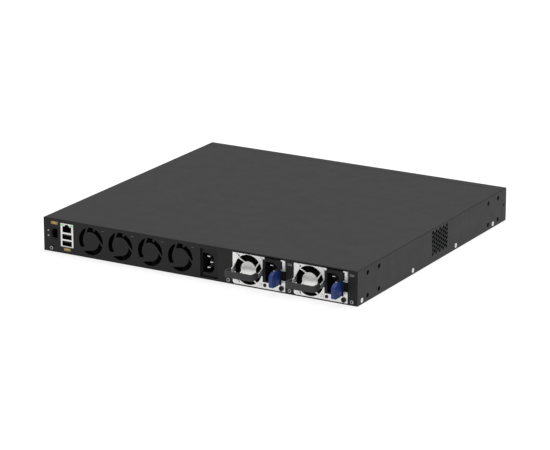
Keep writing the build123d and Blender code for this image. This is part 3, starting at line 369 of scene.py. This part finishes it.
def rounded_outline(x, z, width, height, radius, steps=4):
    """Points around a rectangle with rounded corners, centred on x and z."""
    points = []
    corners = ((1, 1, 0), (-1, 1, 90), (-1, -1, 180), (1, -1, 270))
    for sign_x, sign_z, start in corners:
        centre_x = x + sign_x * (width / 2 - radius)
        centre_z = z + sign_z * (height / 2 - radius)
        for step in range(steps + 1):
            angle = math.radians(start + 90 * step / steps)
            points.append((centre_x + radius * math.cos(angle), centre_z + radius * math.sin(angle)))
    return points


def flat_bars(name, bars, y_from, y_to, material, body):
    """Several thin rounded bars in one piece; each bar is centre x, centre z, width and height."""
    mesh = bmesh.new()
    for x, z, width, height in bars:
        add_prism(mesh, rounded_outline(x, z, width, height, min(width, height) * 0.3), y_from, y_to)
    return new_piece(name, mesh, material, body)


def wires(name, paths, radius, material, body):
    """Thin round wires along lists of points, in one piece."""
    curve = bpy.data.curves.new(name, "CURVE")
    curve.dimensions = "3D"
    curve.bevel_depth = radius
    curve.bevel_resolution = 2
    curve.use_fill_caps = True
    for path in paths:
        spline = curve.splines.new("POLY")
        spline.points.add(len(path) - 1)
        for point, place in zip(spline.points, path):
            point.co = (*place, 1)
    curve.materials.append(MATERIALS[material])
    piece = bpy.data.objects.new(name, curve)
    bpy.context.scene.collection.objects.link(piece)
    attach(piece, body)
    return piece


# ---------------------------------------------------------------- printed marks
INK = 0.04 * MM         # how far printed ink stands off its surface


def rear_marks():
    """Plain dashes where the real panel is printed: beside each fan and on the posts by the supplies."""
    by_fans = []
    for x in FANS_X:
        by_fans.append((x - 17.4 * MM, 37.1 * MM, 4.4 * MM, 0.9 * MM))
    flat_bars("fan_marks", by_fans, REAR_Y, REAR_Y + INK, "mark_faint", "root")
    on_posts = []
    for x in POSTS_X:
        for row in (0, 1):
            on_posts.append((x, (37.5 - 1.6 * row) * MM, 6.0 * MM, 0.8 * MM))
    flat_bars("post_marks", on_posts, REAR_Y, REAR_Y + INK, "mark_dim", "root")


def front_marks():
    """Plain dashes under the front lights and beside the buttons."""
    bars = []
    for node in ("copper_port_shield", "fiber_cage"):
        low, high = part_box(node)
        columns = 6
        pitch = (high.x - low.x) / columns
        for column in range(columns):
            bars.append((low.x + (column + 0.5) * pitch, low.z - 2.4 * MM, 5.0 * MM, 0.8 * MM))
    for row in range(4):
        bars.append((30.0 * MM, (12.0 + 6.0 * row) * MM, 5.0 * MM, 0.8 * MM))
    for button in ("mode_button", "reset_button"):
        low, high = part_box(button)
        bars.append(((low.x + high.x) / 2, 7.6 * MM, 5.0 * MM, 0.8 * MM))
    flat_bars("front_marks", bars, FRONT_Y - INK, FRONT_Y, "mark_grey", "root")


# ---------------------------------------------------------------- rear ports
LABEL_CENTRES = ((204.0 * MM, 37.4 * MM), (185.6 * MM, 5.5 * MM))


def label_bars():
    """A pale dash in the middle of each small port label."""
    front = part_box("port_labels")[1].y
    bars = [(x, z, 4.6 * MM, 1.1 * MM) for x, z in LABEL_CENTRES]
    flat_bars("label_bars", bars, front, front + INK, "label_ink", "root")


def dark_screw_sockets():
    """The sockets of the rear screws, painted near-black: painted shade in their recesses."""
    for x in REAR_SCREWS_X:
        low = (x - SOCKET_R, REAR_Y + 0.8 * MM, SCREW_Z - SOCKET_R)
        high = (x + SOCKET_R, REAR_Y + 1.5 * MM, SCREW_Z + SOCKET_R)
        paint_part("rear_screws", low, high, "black_screw_and_socket_shade")


def jack_lights():
    """The two green windows in the top corners of the rear network jack."""
    low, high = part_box("rear_port_shell")
    bars = []
    for x in (low.x + 2.9 * MM, high.x - 2.9 * MM):
        bars.append((x, high.z - 2.1 * MM, 4.0 * MM, 2.4 * MM))
    flat_bars("jack_lights", bars, high.y - 0.5 * MM, high.y + 0.12 * MM, "lit_green", "root")


def usb_contacts():
    """Four flat contacts on each tongue of the double USB jack."""
    low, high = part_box("rear_port_shell")
    middle = (low.x + high.x) / 2
    mesh = bmesh.new()
    for z in USB_HEIGHTS:
        for number in range(4):
            x = middle + (number - 1.5) * 2.5 * MM
            top = z + 2.18 * MM
            outline = [(x - 0.6 * MM, top - 0.12 * MM), (x + 0.6 * MM, top - 0.12 * MM),
                       (x + 0.6 * MM, top), (x - 0.6 * MM, top)]
            add_prism(mesh, outline, high.y - 11 * MM, high.y - 3 * MM)
    new_piece("usb_contacts", mesh, "contact_brass", "root", smooth=False)


def console_contacts():
    """Eight spring wires in the turned console jack, on the side away from its latch notch."""
    low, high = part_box("console_port")
    middle = (low.z + high.z) / 2
    paths = []
    for number in range(8):
        z = middle + (number - 3.5) * 1.02 * MM
        x = low.x + 1.3 * MM
        paths.append([
            (x, high.y - 3.0 * MM, z),
            (x + 0.3 * MM, high.y - 4.0 * MM, z),
            (x + 1.8 * MM, high.y - 9.0 * MM, z),
            (x + 2.2 * MM, high.y - 12.0 * MM, z),
        ])
    wires("console_contacts", paths, 0.22 * MM, "contact_brass", "root")


# ---------------------------------------------------------------- front ports
def cage_fingers():
    """Bent spring fingers around each front fibre port opening, which press on the module's sides."""
    low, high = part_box("fiber_cage")
    columns, rows = 6, 2
    pitch_x = (high.x - low.x) / columns
    pitch_z = (high.z - low.z) / rows
    half_w, half_h = 6.95 * MM, 4.6 * MM
    mesh = bmesh.new()
    for column in range(columns):
        for row in range(rows):
            x = low.x + (column + 0.5) * pitch_x
            z = low.z + (row + 0.5) * pitch_z
            for number in range(4):
                finger_x = x + (number - 1.5) * 3.1 * MM
                for sign in (-1, 1):
                    add_finger(mesh, finger_x, z + sign * half_h, -sign, low.y)
            for sign in (-1, 1):
                add_side_finger(mesh, x + sign * half_w, z, -sign, low.y)
    new_piece("cage_fingers", mesh, "bright_steel", "root", smooth=False)


FINGER_PROFILE = ((0.0, 0.05), (2.5, 0.28), (5.0, 0.42), (7.5, 0.2))   # depth and lift, in millimetres
FINGER_W = 1.9 * MM
FINGER_T = 0.12 * MM


def add_strip(mesh, lower, upper):
    """Adds a thin strip between two rows of point pairs, closed on all sides."""
    rings = []
    for (a, b), (c, d) in zip(lower, upper):
        rings.append([mesh.verts.new(p) for p in (a, b, d, c)])
    faces = [mesh.faces.new(rings[0]), mesh.faces.new(list(reversed(rings[-1])))]
    for first, second in zip(rings, rings[1:]):
        for i in range(4):
            j = (i + 1) % 4
            faces.append(mesh.faces.new((first[j], first[i], second[i], second[j])))
    bmesh.ops.recalc_face_normals(mesh, faces=faces)


def add_finger(mesh, x, z, inward, y_front):
    """One finger on the floor or roof of an opening."""
    lower, upper = [], []
    for depth, lift in FINGER_PROFILE:
        y = y_front + depth * MM + 0.3 * MM
        height = z + inward * lift * MM
        lower.append(((x - FINGER_W / 2, y, height), (x + FINGER_W / 2, y, height)))
        height += inward * FINGER_T
        upper.append(((x - FINGER_W / 2, y, height), (x + FINGER_W / 2, y, height)))
    add_strip(mesh, lower, upper)


def add_side_finger(mesh, x, z, inward, y_front):
    """One finger on a side wall of an opening."""
    lower, upper = [], []
    for depth, lift in FINGER_PROFILE:
        y = y_front + depth * MM + 0.3 * MM
        side = x + inward * lift * MM
        lower.append(((side, y, z - FINGER_W), (side, y, z + FINGER_W)))
        side += inward * FINGER_T
        upper.append(((side, y, z - FINGER_W), (side, y, z + FINGER_W)))
    add_strip(mesh, lower, upper)


# ---------------------------------------------------------------- power supplies
ROOF_LABEL_X = (62, 12)         # millimetres in from the supply's edge
ROOF_LABEL_Y = (70, 140)
ROOF_BAR_X = 58                 # where each of the label's bars starts, in from the edge
ROOF_BAR_Y = 78                 # the first bar; the others follow at the pitch
ROOF_BAR_PITCH = 8
ROOF_BAR_LENGTHS = (38, 33, 28)
ROOF_BARS = 7


def supply_details(number, edge):
    """The plain rating label on a supply's roof, and the colours of its small parts."""
    body = f"supply{number}"
    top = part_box(f"{body}_case")[1].z
    mesh = bmesh.new()
    label_x = [edge - inward * MM for inward in ROOF_LABEL_X]
    label_y = [y * MM for y in ROOF_LABEL_Y]
    add_plate(mesh, (*label_x, *label_y), top, top + INK)
    new_piece(f"{body}_label", mesh, "label_paper", body, smooth=False)
    lines = bmesh.new()
    start = edge - ROOF_BAR_X * MM
    for row in range(ROOF_BARS):
        y = (ROOF_BAR_Y + ROOF_BAR_PITCH * row) * MM
        width = ROOF_BAR_LENGTHS[row % len(ROOF_BAR_LENGTHS)] * MM
        add_plate(lines, (start, start + width, y, y + 1.2 * MM), top + INK, top + 2 * INK)
    new_piece(f"{body}_label_bars", lines, "mark_faint", body, smooth=False)
    paint_supply(body, edge)


def paint_supply(body, edge):
    """Black for the corner screw, the lamp and the latch's arm, bright metal for the bracket."""
    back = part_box(f"{body}_face")[0].y
    regions = (
        ("screws", (70.2, 63.5), (-10, 5), (0, 9), "black_screw_and_socket_shade"),
        ("screws", (46.4, 41.8), (-5, 5), (3.4, 8.1), "lamp_window"),
        ("latch", (72.0, 65.2), (-10, 0), (0, 40), "black_plastic"),
        ("case", (71.3, 65.8), (-0.4, 1.2), (27, 40.6), "bright_steel"),
    )
    for part, x, y, z, material in regions:
        low = (edge - x[0] * MM, back + y[0] * MM, z[0] * MM)
        high = (edge - x[1] * MM, back + y[1] * MM, z[1] * MM)
        paint_part(f"{body}_{part}", low, high, material)


def add_plate(mesh, limits, z_from, z_to):
    """Adds a thin flat plate with X and Y limits, between two heights."""
    x0, x1, y0, y1 = limits
    corners = ((x0, y0), (x1, y0), (x1, y1), (x0, y1))
    low = [mesh.verts.new((x, y, z_from)) for x, y in corners]
    high = [mesh.verts.new((x, y, z_to)) for x, y in corners]
    faces = [mesh.faces.new(high), mesh.faces.new(list(reversed(low)))]
    for i in range(4):
        j = (i + 1) % 4
        faces.append(mesh.faces.new((low[i], low[j], high[j], high[i])))
    bmesh.ops.recalc_face_normals(mesh, faces=faces)


rear_marks()
front_marks()
label_bars()
dark_screw_sockets()
jack_lights()
usb_contacts()
console_contacts()
cage_fingers()
for supply_number, supply_edge in enumerate(SUPPLY_EDGES, start=1):
    supply_details(supply_number, supply_edge)


# ---------------------------------------------------------------- stage, light and camera
def pale_floor():
    """A large white floor that also glows, so that shadows on it stay faint."""
    size = 8.0
    mesh = bpy.data.meshes.new("floor")
    corners = [(-size, -size, 0), (size, -size, 0), (size, size, 0), (-size, size, 0)]
    mesh.from_pydata(corners, [], [(0, 1, 2, 3)])
    m = Nodes("floor_paper")
    m.join(m.blend(m.noise(3, 2.0), (0.28, 0.28, 0.28), (0.30, 0.30, 0.30)), m.shader, "Base Color")
    m.set(Roughness=0.9, Specular_IOR_Level=0.1)
    m.set(Emission_Color=(1, 1, 1, 1), Emission_Strength=0.76)
    mesh.materials.append(m.material)
    floor = bpy.data.objects.new("floor", mesh)
    bpy.context.scene.collection.objects.link(floor)
    floor.location.z = -0.2 * MM


def soft_light(name, place, target, size, power):
    """A large square area light that faces a point."""
    data = bpy.data.lights.new(name, "AREA")
    data.shape = "SQUARE"
    data.size = size
    data.energy = power
    light = bpy.data.objects.new(name, data)
    light.location = place
    light.rotation_euler = (Vector(target) - Vector(place)).to_track_quat("-Z", "Y").to_euler()
    bpy.context.scene.collection.objects.link(light)
    return light


def studio():
    world = bpy.data.worlds.new("studio")
    world.use_nodes = True
    background = world.node_tree.nodes["Background"]
    background.inputs["Color"].default_value = (1.0, 1.0, 1.0, 1)
    background.inputs["Strength"].default_value = 0.60
    bpy.context.scene.world = world
    bpy.context.scene.view_settings.view_transform = "Standard"
    middle = (0, 0, 0.02)
    soft_light("overhead", (-0.4, -0.6, 3.0), middle, 2.4, 68.0)


CAMERA_AZIMUTH = 209.9606       # degrees
CAMERA_ELEVATION = 17.0564
CAMERA_BACK = 3.47663           # metres from the chassis' underside centre, along the view
CAMERA_RIGHT = -0.00507
CAMERA_UP = 0.01199
CAMERA_LENS = 180.67            # mm, on a 36 mm wide sensor


def camera():
    azimuth = math.radians(CAMERA_AZIMUTH)
    elevation = math.radians(CAMERA_ELEVATION)
    data = bpy.data.cameras.new("camera")
    data.lens = CAMERA_LENS
    data.sensor_width = 36.0
    data.clip_end = 50.0
    view = bpy.data.objects.new("camera", data)
    turn = Matrix.Rotation(azimuth, 4, "Z") @ Matrix.Rotation(math.pi / 2 - elevation, 4, "X")
    offset = turn @ Vector((CAMERA_RIGHT, CAMERA_UP, CAMERA_BACK))
    view.matrix_world = Matrix.Translation(offset) @ turn
    bpy.context.scene.collection.objects.link(view)
    bpy.context.scene.camera = view


pale_floor()
studio()
camera()
